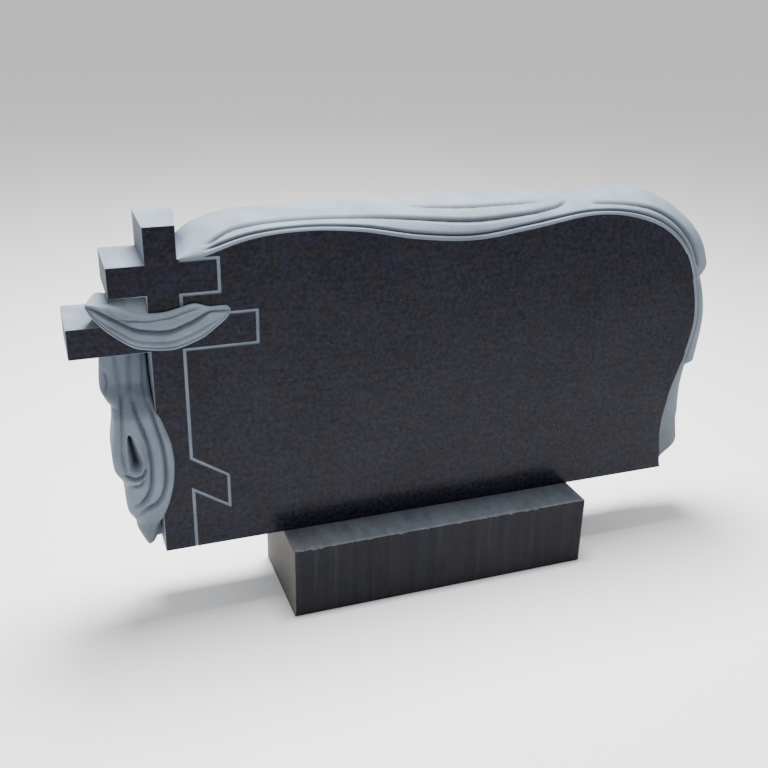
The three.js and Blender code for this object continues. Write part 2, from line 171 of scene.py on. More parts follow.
class Modeller:
    """Builds closed meshes with Blender's own operators."""

    @staticmethod
    def activate(obj: bpy.types.Object) -> None:
        """Makes obj the only selected and the active object."""
        bpy.ops.object.select_all(action="DESELECT")
        obj.select_set(True)
        bpy.context.view_layer.objects.active = obj

    @classmethod
    def loft(cls, name: str, sections: np.ndarray, around: bool = True) -> bpy.types.Object:
        """Closed body over a grid of points, with a flat cap at both ends.

        Args:
            name: Name of the piece.
            sections: Array (stations, points, 3) of the surface. If around is true, the
                stations run round the body and the points run from its first cap to its
                second. If not, the points run round it and the stations from cap to cap.
            around: Which of the two directions is the closed one.

        Returns:
            The new object, in the frame of the points.
        """
        grid = sections if around else sections.transpose(1, 0, 2)
        stations, points = grid.shape[:2]
        closed = np.concatenate([grid, grid[:1]], axis=0)
        bpy.ops.mesh.primitive_grid_add(
            x_subdivisions=points - 1, y_subdivisions=stations, size=1.0)
        obj = bpy.context.active_object
        obj.name = name
        obj.data.name = name
        obj.data.vertices.foreach_set("co", closed.reshape(-1).astype(np.float32))
        obj.data.update()
        bpy.ops.object.mode_set(mode="EDIT")
        bpy.ops.mesh.select_all(action="SELECT")
        bpy.ops.mesh.remove_doubles(threshold=MERGE_DISTANCE)
        bpy.ops.object.mode_set(mode="OBJECT")
        for cap in (0, points - 1):
            cls._fill(obj, closed[:-1, cap])
        bpy.ops.object.mode_set(mode="EDIT")
        bpy.ops.mesh.select_all(action="SELECT")
        bpy.ops.mesh.normals_make_consistent(inside=False)
        bpy.ops.object.mode_set(mode="OBJECT")
        return obj

    @staticmethod
    def _keys(points: np.ndarray, per_metre: float) -> list[tuple[int, ...]]:
        """Turns points into whole numbers, by which those in the same place are told."""
        scaled = np.round(points.reshape(-1, 3).astype(np.float32) * per_metre)
        return [tuple(key) for key in scaled.astype(np.int64)]

    @staticmethod
    def _corners(obj: bpy.types.Object) -> np.ndarray:
        """Returns the places of an object's vertices."""
        coords = np.empty(len(obj.data.vertices) * 3, np.float32)
        obj.data.vertices.foreach_get("co", coords)
        return coords.reshape(-1, 3)

    @classmethod
    def _fill(cls, obj: bpy.types.Object, loop: np.ndarray) -> None:
        """Fills the open edge whose corners are the points of loop."""
        wanted = set(cls._keys(loop, 1e7))
        chosen = [key in wanted for key in cls._keys(cls._corners(obj), 1e7)]
        bpy.ops.object.mode_set(mode="EDIT")
        bpy.ops.mesh.select_mode(type="VERT")
        bpy.ops.mesh.select_all(action="DESELECT")
        bpy.ops.object.mode_set(mode="OBJECT")
        obj.data.vertices.foreach_set("select", chosen)
        bpy.ops.object.mode_set(mode="EDIT")
        bpy.ops.mesh.edge_face_add()
        bpy.ops.object.mode_set(mode="OBJECT")

    @classmethod
    def combine(cls, body: bpy.types.Object, other: bpy.types.Object, operation: str) -> None:
        """Joins other to body, or cuts it out of body, and removes other.

        Args:
            body: Object that is kept.
            other: Closed object that overlaps it.
            operation: UNION or DIFFERENCE.
        """
        cls.activate(body)
        modifier = body.modifiers.new(operation.lower(), "BOOLEAN")
        modifier.operation = operation
        modifier.object = other
        modifier.solver = "MANIFOLD"
        bpy.ops.object.modifier_apply(modifier=modifier.name)
        bpy.data.objects.remove(other)

    @classmethod
    def paint(cls, obj: bpy.types.Object, name: str, grid: np.ndarray, values: np.ndarray) -> None:
        """Stores numbers on the vertices as an attribute that the materials read.

        Args:
            obj: Object to paint.
            name: Name of the attribute, which obj doesn't have yet.
            grid: Points of the surface.
            values: Number for each point of grid. A vertex that is no such point gets 0.
        """
        known = dict(zip(cls._keys(grid, 1e6), values.ravel()))
        found = [known.get(key, 0.0) for key in cls._keys(cls._corners(obj), 1e6)]
        attribute = obj.data.attributes.new(name, "FLOAT", "POINT")
        attribute.data.foreach_set("value", np.array(found, np.float32))


@dataclass(frozen=True)
class Slab:
    """Sizes of the slab and the plain parts of the block.

    Attributes:
        width: Length of the slab's foot.
        thickness: From the polished face to the rear face.
        crest: Height of the cloth's crest over the slab's foot.
        crest_fall: How much lower the crest is at its right.
        arris: Width of the small chamfer round the plain edges.
    """

    width: float = 1000 * MM
    thickness: float = 119 * MM
    crest: float = 568 * MM
    crest_fall: float = 6 * MM
    arris: float = 0.8 * MM


@dataclass(frozen=True)
class Cross:
    """Sizes of the cross. The reaches are measured from the upright's own sides.

    Attributes:
        width: Width of the upright.
        draft: How much wider the upright is at the rear, on its right.
        bar: Height of the two upper bars.
        foot_bar_drop: How far the slanted foot bar falls over its reach.
        line_width: Width of the engraved line.
    """

    width: float = 50 * MM
    draft: float = 15 * MM
    top: float = 571 * MM
    bar: float = 50 * MM
    top_bar_underside: float = 462 * MM
    top_bar_left: float = 58 * MM
    top_bar_right: float = 61 * MM
    low_bar_underside: float = 370 * MM
    low_bar_left: float = 125 * MM
    low_bar_right: float = 120 * MM
    foot_bar_top: float = 172 * MM
    foot_bar_height: float = 60 * MM
    foot_bar_reach: float = 61 * MM
    foot_bar_drop: float = 41 * MM
    line_width: float = 5.5 * MM
    line_depth: float = 1.6 * MM

    @property
    def top_bar_top(self) -> float:
        """Height of the top bar's upper side."""
        return self.top_bar_underside + self.bar

    @property
    def low_bar_top(self) -> float:
        """Height of the lower bar's upper side."""
        return self.low_bar_underside + self.bar

    @property
    def cloth_foot(self) -> float:
        """Height at which the cloth starts above the top bar."""
        return self.top_bar_top + self.line_width


@dataclass(frozen=True)
class LayerEnd:
    """End of one layer of the cloth on the right side.

    Attributes:
        up: Where it is, measured up the cloth's edge from the slab's foot.
        length: Over what length the layer ends.
        step: How far it steps back.
        swell: Over what length the next layer swells out again.
    """

    up: float
    length: float
    step: float = 0.0
    swell: float = 1.0

    def above(self, up: np.ndarray) -> np.ndarray:
        """Rises from 0 below the layer's end to 1 above it."""
        return fade(up, self.up - self.length / 2, self.up + self.length / 2)


@dataclass
class TopCloth:
    """The cloth along the slab's top and right side, with its grooves and layers.

    Its cross-section is a quarter of an ellipse that rises from the polished face. The rows say
    how a value runs along the front edge, from 0 at the cross to 1 at the slab's foot.

    Attributes:
        depth: Depth of the rounded part, in front of the rear edge's own rounding.
        start: Where the front edge's own rise begins, right of the upright's left side.
        shoulder_length: Length over which the crest falls to the notch beside the cross.
        shoulder_drop: How far it falls there.
        crest_falls: Shares of the slab's width between which the crest falls to its right.
        side_reach: How far the cloth reaches out on the right side.
        fine_length: Distance across the cloth that is finely divided, for the grooves.
        corner: Shares of the slab's width between which the cloth turns down.
        edge_rows: Front edge as shares of the slab's width and of the crest's height.
        second_place: Place of the second groove, as a share of second_groove.
        foot_painted_shade: How much shade is painted on the stone at the cloth's foot.
        painted_shade_height: Height up to which shade is painted there, fading out upwards.
    """

    slab: Slab
    cross: Cross
    depth: float = 101 * MM
    start: float = 90 * MM
    shoulder_length: float = 130 * MM
    shoulder_drop: float = 46 * MM
    crest_falls: tuple[float, float] = (0.45, 0.8)
    side_reach: float = 83.9 * MM
    first_groove: float = 10 * MM
    second_groove: float = 40 * MM
    groove_half: float = 4.6 * MM
    groove_depth: float = 6 * MM
    stations: int = 620
    fine_points: int = 58
    fine_length: float = 78 * MM
    coarse_points: int = 10
    rounding_points: int = 7
    corner: tuple[float, float] = (0.78, 0.88)
    edge_rows: list[tuple[float, float]] = field(default_factory=lambda: [
        (0.165, 0.95), (0.25, 0.963), (0.345, 0.95), (0.45, 0.914), (0.553, 0.898),
        (0.665, 0.919), (0.785, 0.947), (0.865, 0.931), (0.935, 0.884), (0.985, 0.806),
        (1.015, 0.69), (1.029, 0.56), (1.018, 0.43), (0.996, 0.29), (0.986, 0.167),
        (0.992, 0.069), (1.0, 0.0),
    ])
    reach_along: Rows = field(default_factory=lambda: Rows(
        (0.57, 0.5), (0.65, 0.74), (0.69, 0.9), (0.82, 0.87), (0.9, 0.96), (1.0, 1.04)))
    second_place: Rows = field(default_factory=lambda: Rows(
        (0.01, 0.5), (0.04, 0.8), (0.17, 0.83), (0.25, 0.98), (0.42, 0.78), (0.455, 0.9),
        (0.48, 1.2), (0.505, 0.85), (0.57, 0.73), (0.65, 0.58), (0.69, 0.5)))
    first_depth: Rows = field(default_factory=lambda: Rows(
        (0.0, 0.0), (0.02, 1.0), (0.65, 1.0), (0.69, 0.5), (0.82, 0.5), (0.84, 0.0)))
    second_depth: Rows = field(default_factory=lambda: Rows(
        (0.0, 0.0), (0.02, 1.0), (0.465, 1.0), (0.48, 0.0), (0.5, 0.0), (0.52, 1.0),
        (0.69, 1.0), (0.7, 0.0)))
    third_place: Rows = field(default_factory=lambda: Rows(
        (0.26, 76 * MM), (0.31, 72 * MM), (0.37, 68 * MM), (0.41, 63 * MM), (0.46, 60 * MM)))
    third_depth: Rows = field(default_factory=lambda: Rows(
        (0.25, 0.0), (0.3, 0.8), (0.4, 0.8), (0.46, 0.0)))
    ends: tuple[LayerEnd, ...] = (
        LayerEnd(up=405 * MM, length=11 * MM, step=29 * MM, swell=168 * MM),
        LayerEnd(up=232 * MM, length=11 * MM, step=30 * MM, swell=112 * MM),
    )
    last_end: LayerEnd = LayerEnd(up=27 * MM, length=15 * MM)
    foot_painted_shade: float = 0.68
    painted_shade_height: float = 360 * MM

    def crest_at(self, x: np.ndarray) -> np.ndarray:
        """Returns the height of the crest, which falls to the notch beside the cross."""
        end = self.cross.width + self.cross.draft + self.shoulder_length
        fallen = np.clip((end - x) / self.shoulder_length, 0.0, 1.0)
        left, right = (share * self.slab.width for share in self.crest_falls)
        lower = self.slab.crest_fall * fade(x, left, right)
        return self.slab.crest - lower - self.shoulder_drop * (1 - np.sqrt(1 - fallen * fallen))

    def grooves(self, share: np.ndarray, arc: np.ndarray, second: np.ndarray) -> np.ndarray:
        """Depth cut into the cloth at each distance across it.

        Args:
            share: Share of the front edge, one per station.
            arc: Distance across the cloth, (stations, points).
            second: Place of the second groove, one per station.

        Returns:
            Depth at each point.
        """
        def groove(place: np.ndarray, half: float, depth: np.ndarray) -> np.ndarray:
            """Depth of one groove, which is half wide on each side of its place."""
            near = np.clip(1 - np.abs(arc - np.reshape(place, (-1, 1))) / half, 0.0, 1.0)
            return near ** 1.6 * np.reshape(depth, (-1, 1))

        first = groove(np.full(share.shape, self.first_groove), self.groove_half,
                       self.groove_depth * self.first_depth.at(share))
        wide = 2.0 * self.groove_half
        middle = groove(second, wide, self.groove_depth * self.second_depth.at(share))
        third = groove(self.third_place.at(share), wide,
                       self.groove_depth * self.third_depth.at(share))
        return first + middle + third

    def sections(self, share: np.ndarray, foot: np.ndarray, outward: np.ndarray,
                 reach: np.ndarray) -> tuple[np.ndarray, np.ndarray]:
        """Sections of the cloth from the polished face back to the rear face.

        Args:
            share: Share of the front edge, one per station.
            foot: Points (x, z) of the front edge.
            outward: Directions (x, z) in which the cloth reaches out.
            reach: How far it reaches.

        Returns:
            The points (stations, points, 3), and the shade painted at each by the depth of its
            groove.
        """
        angles = np.linspace(0.0, math.pi / 2, 400)
        steps = np.hypot(reach[:, None] * np.cos(angles[:-1]), self.depth * np.sin(angles[1:]))
        travelled = np.concatenate(
            [np.zeros((len(reach), 1)), np.cumsum(steps * (angles[1] - angles[0]), axis=1)], axis=1)
        fine = np.linspace(0.0, self.fine_length, self.fine_points)
        rest = np.linspace(0.0, 1.0, self.coarse_points + 1)[1:]
        arc = np.concatenate([
            np.repeat(fine[None, :], len(reach), axis=0),
            self.fine_length + (travelled[:, -1:] - self.fine_length) * rest[None, :],
        ], axis=1)
        angle = np.stack([np.interp(a, t, angles) for a, t in zip(arc, travelled)])
        second = self.second_groove * self.second_place.at(share)
        cut = self.grooves(share, arc, second)
        forward = reach[:, None] * np.cos(angle)
        sideways = self.depth * np.sin(angle)
        length = np.maximum(np.hypot(forward, sideways), 1e-9)
        cut = np.minimum(cut, 0.5 * reach[:, None])
        out = reach[:, None] * np.sin(angle) - cut * sideways / length
        back = self.depth * (1 - np.cos(angle)) + cut * forward / length
        rounding = self.slab.thickness - self.depth
        turn = np.linspace(0.0, math.pi / 2, self.rounding_points + 1)[1:]
        round_out = reach[:, None] - np.minimum(rounding, reach)[:, None] * (1 - np.cos(turn))
        round_back = np.repeat(self.depth + rounding * np.sin(turn)[None, :], len(reach), axis=0)
        out = np.concatenate([out, round_out], axis=1)
        back = np.concatenate([back, round_back], axis=1)
        # Shade is painted into the grooves, the more the deeper they are cut.
        painted_shading = np.concatenate([cut / self.groove_depth, np.zeros_like(round_out)], axis=1)
        points = np.stack([
            foot[:, :1] + outward[:, :1] * out, back, foot[:, 1:] + outward[:, 1:] * out], axis=2)
        return points, painted_shading

    def along_edge(self) -> tuple[np.ndarray, np.ndarray]:
        """Returns the sections along the cloth's whole front edge, from the cross to the foot."""
        knots = [(self.start, self.cross.cloth_foot)]
        knots += [(x * self.slab.width, z * self.slab.crest) for x, z in self.edge_rows]
        dense = spline(knots, 4001)
        places = np.linspace(0.0, 1.0, len(dense))
        share = np.linspace(0.0, 1.0, self.stations)
        foot = np.stack([np.interp(share, places, dense[:, k]) for k in (0, 1)], axis=1)
        ahead = np.stack([np.gradient(dense[:, k]) for k in (0, 1)], axis=1)
        ahead /= np.linalg.norm(ahead, axis=1)[:, None]
        along = np.stack([np.interp(share, places, ahead[:, k]) for k in (0, 1)], axis=1)
        turned = fade(foot[:, 0], *(part * self.slab.width for part in self.corner))
        outward = np.stack([-along[:, 1] * turned, blend(1.0, along[:, 0], turned)], axis=1)
        outward /= np.linalg.norm(outward, axis=1)[:, None]
        edge = np.linalg.norm(np.diff(dense, axis=0), axis=1).sum()
        up = (1 - share) * edge
        side = self.side_reach * self.reach_along.at(share)
        for end in self.ends:
            remaining = np.clip(1 - (end.up - up) / end.swell, 0.0, 1.0)
            side -= end.step * remaining * (1 - end.above(up))
        present = self.last_end.above(up)
        to_crest = (self.crest_at(foot[:, 0]) - foot[:, 1]) / np.maximum(outward[:, 1], 0.1)
        reach = present * np.minimum(blend(to_crest, side, turned), to_crest)
        points, painted_shading = self.sections(share, foot, outward, reach)
        # Shade is painted on the stone at the cloth's foot, fading out up its edge.
        foot_shade = self.foot_painted_shade * (1 - fade(up, 0.0, self.painted_shade_height))
        return points, np.maximum(painted_shading, foot_shade[:, None])

    def at_cross(self) -> tuple[np.ndarray, np.ndarray]:
        """Returns the sections between the cross and the start of the front edge's rise."""
        share = np.linspace(0.93, 0.07, 14)
        lean = self.cross.draft * (1 - share)
        x = blend(self.cross.width, self.start, share)
        outward = np.stack([lean, self.crest_at(x + lean) - self.cross.cloth_foot], axis=1)
        reach = np.linalg.norm(outward, axis=1)
        foot = np.stack([x, np.full(x.shape, self.cross.cloth_foot)], axis=1)
        return self.sections(np.zeros_like(share), foot, outward / reach[:, None], reach)


@dataclass
class Block:
    """The slab with the plain parts of the cross and the cloth on its top and right side.

    Attributes:
        painted_light_corners: Corners of the cross, by number, at both ends of the upright's side
            between the two upper bars, where light is painted on the stone.
    """

    slab: Slab
    cross: Cross
    cloth: TopCloth
    painted_light_corners: tuple[int, int] = (6, 7)

    def plain(self, corner: tuple[float, float], lean: tuple[float, float],
              inset: tuple[float, float], count: int) -> np.ndarray:
        """Straight section at one corner of the outline, with an arris at both ends.

        Args:
            corner: Place (x, z) of the corner on the polished face.
            lean: How far it moves by the rear face.
            inset: Direction (x, z) into the stone, by which the arris moves the corner.
            count: Number of points.

        Returns:
            Array of count points.
        """
        back = np.concatenate([
            [0.0], np.linspace(self.slab.arris, self.slab.thickness - self.slab.arris, count - 2),
            [self.slab.thickness]])
        share = back / self.slab.thickness
        ends = np.zeros(count)
        ends[0] = ends[-1] = self.slab.arris
        return np.stack([
            corner[0] + lean[0] * share + inset[0] * ends,
            back,
            corner[1] + lean[1] * share + inset[1] * ends,
        ], axis=1)

    def build(self) -> bpy.types.Object:
        """Models the block as sections round its whole outline.

        Returns:
            The block, in its own frame.
        """
        cross, slab = self.cross, self.slab
        along, along_painted_shading = self.cloth.along_edge()
        beside, beside_painted_shading = self.cloth.at_cross()
        count = along.shape[1]
        crest = self.cloth.crest_at(np.array([cross.width + cross.draft]))
        notch = float(crest[0]) - cross.cloth_foot
        foot = [
            self.plain((0, 0), (0, 0), (1, 1), count),
            self.plain((slab.width / 2, 0), (0, 0), (0, 1), count),
        ]
        corners = [
            self.plain((cross.width, cross.cloth_foot), (cross.draft, notch), (-1, 0), count),
            self.plain((cross.width, cross.top), (cross.draft, 0), (-1, -1), count),
            self.plain((0, cross.top), (0, 0), (1, -1), count),
            self.plain((0, cross.top_bar_top), (0, 0), (1, -1), count),
            self.plain((-cross.top_bar_left, cross.top_bar_top), (0, 0), (1, -1), count),
            self.plain((-cross.top_bar_left, cross.top_bar_underside), (0, 0), (1, 1), count),
            self.plain((0, cross.top_bar_underside), (0, 0), (1, 1), count),
            self.plain((0, cross.low_bar_top), (0, 0), (1, -1), count),
            self.plain((-cross.low_bar_left, cross.low_bar_top), (0, 0), (1, -1), count),
            self.plain((-cross.low_bar_left, cross.low_bar_underside), (0, 0), (1, 1), count),
            self.plain((0, cross.low_bar_underside), (0, 0), (1, 1), count),
        ]
        grid = np.concatenate([np.array(foot), along[::-1], beside, np.array(corners)])
        obj = Modeller.loft("headstone", grid)
        # Light is painted on the upright's side between the two upper bars.
        cross_painted_light = np.zeros((len(corners), count))
        cross_painted_light[list(self.painted_light_corners)] = -1.0
        painted_shading = np.concatenate([
            np.zeros((len(foot), count)), along_painted_shading[::-1], beside_painted_shading, cross_painted_light])
        Modeller.paint(obj, "painted_shading", grid, painted_shading)
        return obj


@dataclass
class EngravedLine:
    """The frosted line that draws the right half of the cross on the polished face."""

    cross: Cross

    def build(self) -> bpy.types.Object:
        """Models the cutter for the line.

        Returns:
            A closed bar as wide as the line that stands through the polished face.
        """
        cross = self.cross
        half = cross.line_width / 2
        inner = cross.width + half
        top_end = inner + cross.top_bar_right
        low_end = inner + cross.low_bar_right
        foot_end = inner + cross.foot_bar_reach
        route = np.array([
            (inner, cross.top_bar_top + half),
            (top_end, cross.top_bar_top + half),
            (top_end, cross.top_bar_underside - half),
            (inner, cross.top_bar_underside - half),
            (inner, cross.low_bar_top + half),
            (low_end, cross.low_bar_top + half),
            (low_end, cross.low_bar_underside - half),
            (inner, cross.low_bar_underside - half),
            (inner, cross.foot_bar_top),
            (foot_end, cross.foot_bar_top - cross.foot_bar_drop),
            (foot_end, cross.foot_bar_top - cross.foot_bar_drop - cross.foot_bar_height),
            (inner, cross.foot_bar_top - cross.foot_bar_height),
            (inner, -half),
        ])
        step = np.diff(route, axis=0)
        step /= np.linalg.norm(step, axis=1)[:, None]
        into = np.vstack([step[:1], step])
        away = np.vstack([step, step[-1:]])
        aside = np.stack([-(into + away)[:, 1], (into + away)[:, 0]], axis=1)
        aside /= np.linalg.norm(aside, axis=1)[:, None]
        mitre = half / np.sum(aside * np.stack([-into[:, 1], into[:, 0]], axis=1), axis=1)
        sides = np.vstack([route + aside * mitre[:, None], (route - aside * mitre[:, None])[::-1]])
        near = np.stack([sides[:, 0], np.full(len(sides), -cross.line_depth), sides[:, 1]], axis=1)
        far = near + np.array([0.0, 2 * cross.line_depth, 0.0])
        return Modeller.loft("engraved_line", np.stack([near, far], axis=1))


@dataclass
class Swag:
    """The cloth wound over the cross's lower bar.

    The rows give heights along its length, from 0 at the lower bar's underside to 1 at the top
    bar's. A cut is a carved line's half width and its depth as a share of the relief.

    Attributes:
        left: How far it reaches to the left of the upright.
        relief: How far it stands out of the polished face.
        rim: Distance of the rim's line from the lower edge.
        lip: Depth at which its upper edge behind the face is highest.
        lap: How far it goes into the top bar, so that the two are joined.
        seat: How far it goes into the lower bar.
        rear: Depth to which it goes, as a share of depth.
        cut_shade: How dark a carved line is for its depth.
        painted_light_from: Places along it between which the light painted on the slope behind
            rises to its full strength.
    """

    cross: Cross
    left: float = 92 * MM
    length: float = 222 * MM
    relief: float = 13 * MM
    rim: float = 6.5 * MM
    lip: float = 28 * MM
    lap: float = 2 * MM
    seat: float = 5 * MM
    inset: float = 2 * MM
    depth: float = 101 * MM
    groove_cut: tuple[float, float] = (6.5 * MM, 0.48)
    roll_cut: tuple[float, float] = (5 * MM, 0.24)
    rim_cut: tuple[float, float] = (3.2 * MM, 0.2)
    middle_cut: tuple[float, float] = (5.5 * MM, 0.16)
    cut_shade: float = 1.5
    painted_light_from: tuple[float, float] = (0.12, 0.24)
    stations: int = 150
    front_points: int = 60
    lower: Rows = field(default_factory=lambda: Rows(
        (0.0, 0.88), (0.03, 0.74), (0.16, 0.38), (0.34, 0.09), (0.55, 0.02), (0.76, 0.16),
        (0.9, 0.38), (0.97, 0.51), (1.0, 0.62)))
    groove: Rows = field(default_factory=lambda: Rows(
        (0.0, 0.92), (0.05, 0.88), (0.16, 0.71), (0.35, 0.45), (0.53, 0.39), (0.69, 0.5),
        (0.86, 0.66), (1.0, 0.64)))
    roll: Rows = field(default_factory=lambda: Rows(
        (0.13, 0.86), (0.23, 0.67), (0.32, 0.63), (0.41, 0.6), (0.55, 0.62), (0.68, 0.7),
        (0.8, 0.76)))
    upper: Rows = field(default_factory=lambda: Rows(
        (0.0, 0.96), (0.1, 0.95), (0.41, 0.71), (0.5, 0.7), (0.62, 0.75), (0.74, 0.81),
        (0.86, 0.73), (0.96, 0.73), (1.0, 0.66)))
    behind: Rows = field(default_factory=lambda: Rows(
        (0.0, 0.92), (0.03, 0.98), (0.06, 1.03), (0.1, 1.05), (0.16, 1.03), (1.0, 1.02)))
    rear: Rows = field(default_factory=lambda: Rows(
        (0.0, 0.12), (0.05, 0.4), (0.12, 0.75), (0.16, 1.0)))

    def build(self) -> bpy.types.Object:
        """Models the swag as sections along the bar.

        Returns:
            The closed body, in the block's frame.
        """
        span = self.cross.top_bar_underside - self.cross.low_bar_underside
        turn = np.linspace(0.0, math.pi, self.stations)
        share = 0.5 - 0.5 * np.cos(turn)
        x = share * self.length - self.left
        base = self.cross.low_bar_underside
        heights = (self.lower, self.groove, self.roll, self.upper)
        lower, groove, roll, upper = (base + span * rows.at(share) for rows in heights)
        rear = self.depth * self.rear.at(share)
        ends = np.minimum(3 * np.sqrt(share), 2.2 * np.sqrt(1 - share))
        full = np.minimum(1.0, 0.05 + ends)
        v = np.linspace(0.0, 1.0, self.front_points)[None, :]
        z = blend(lower[:, None], upper[:, None], v)
        belly = np.sqrt(np.clip(1 - (2 * v - 1) ** 4, 0.0, 1.0))
        shape = 0.35 + 0.65 * belly
        fine = fade(share, 0.1, 0.2) * (1 - fade(share, 0.72, 0.82))
        everywhere = np.ones(share.shape)
        lines = (
            (groove, self.groove_cut, everywhere),
            (roll, self.roll_cut, fine),
            (lower + self.rim, self.rim_cut, everywhere),
            (0.5 * (lower + groove), self.middle_cut, everywhere),
        )
        # Shade is painted into each carved line, the more the deeper it is cut.
        painted_shading = np.zeros(z.shape)
        for place, (half, depth), there in lines:
            near = np.clip(1 - np.abs(z - place[:, None]) / half, 0.0, 1.0) ** 1.4
            shape = shape - (depth * there)[:, None] * near
            painted_shading = np.maximum(painted_shading, self.cut_shade * (depth * there)[:, None] * near)
        out = -self.relief * full[:, None] * shape
        front = np.stack([np.repeat(x[:, None], v.size, axis=1), out, z], axis=2)
        inside = np.full(x.shape, self.inset)
        lap = self.cross.top_bar_underside + self.lap
        behind = base + span * self.behind.at(share)
        falling = np.maximum(lower + 0.03 * span, blend(self.cross.low_bar_top, upper, 0.4))
        under_bar = fade(x, -self.cross.top_bar_left, -0.6 * self.cross.top_bar_left)
        corners = [
            (inside, upper),
            (np.minimum(0.5 * rear, self.lip), behind),
            (rear, blend(falling, lap, under_bar)),
            (rear, np.maximum(lower, self.cross.low_bar_top - self.seat)),
            (inside, lower),
        ]
        behind_front = np.stack(
            [np.stack([x, y, height], axis=1) for y, height in corners], axis=1)
        grid = np.concatenate([front, behind_front], axis=1)
        obj = Modeller.loft("swag", grid, around=False)
        # Light is painted on the slope behind the swag, under the top bar, rising from its left
        # end.
        slope = np.repeat(-fade(share, *self.painted_light_from)[:, None], 2, axis=1)
        painted_shading = np.concatenate([painted_shading, slope], axis=1)
        Modeller.paint(obj, "painted_shading", grid[:, :painted_shading.shape[1]], painted_shading)
        return obj


@dataclass(frozen=True)
class Stroke:
    """A carved line of the hanging cloth.

    Attributes:
        depth: How deep it is cut.
        width_start: Width at its first point.
        width_end: Width at its last point.
        course: Points (x, z) as shares of the cloth's greatest reach to the left and its height.
    """

    depth: float
    width_start: float
    width_end: float
    course: list[tuple[float, float]]


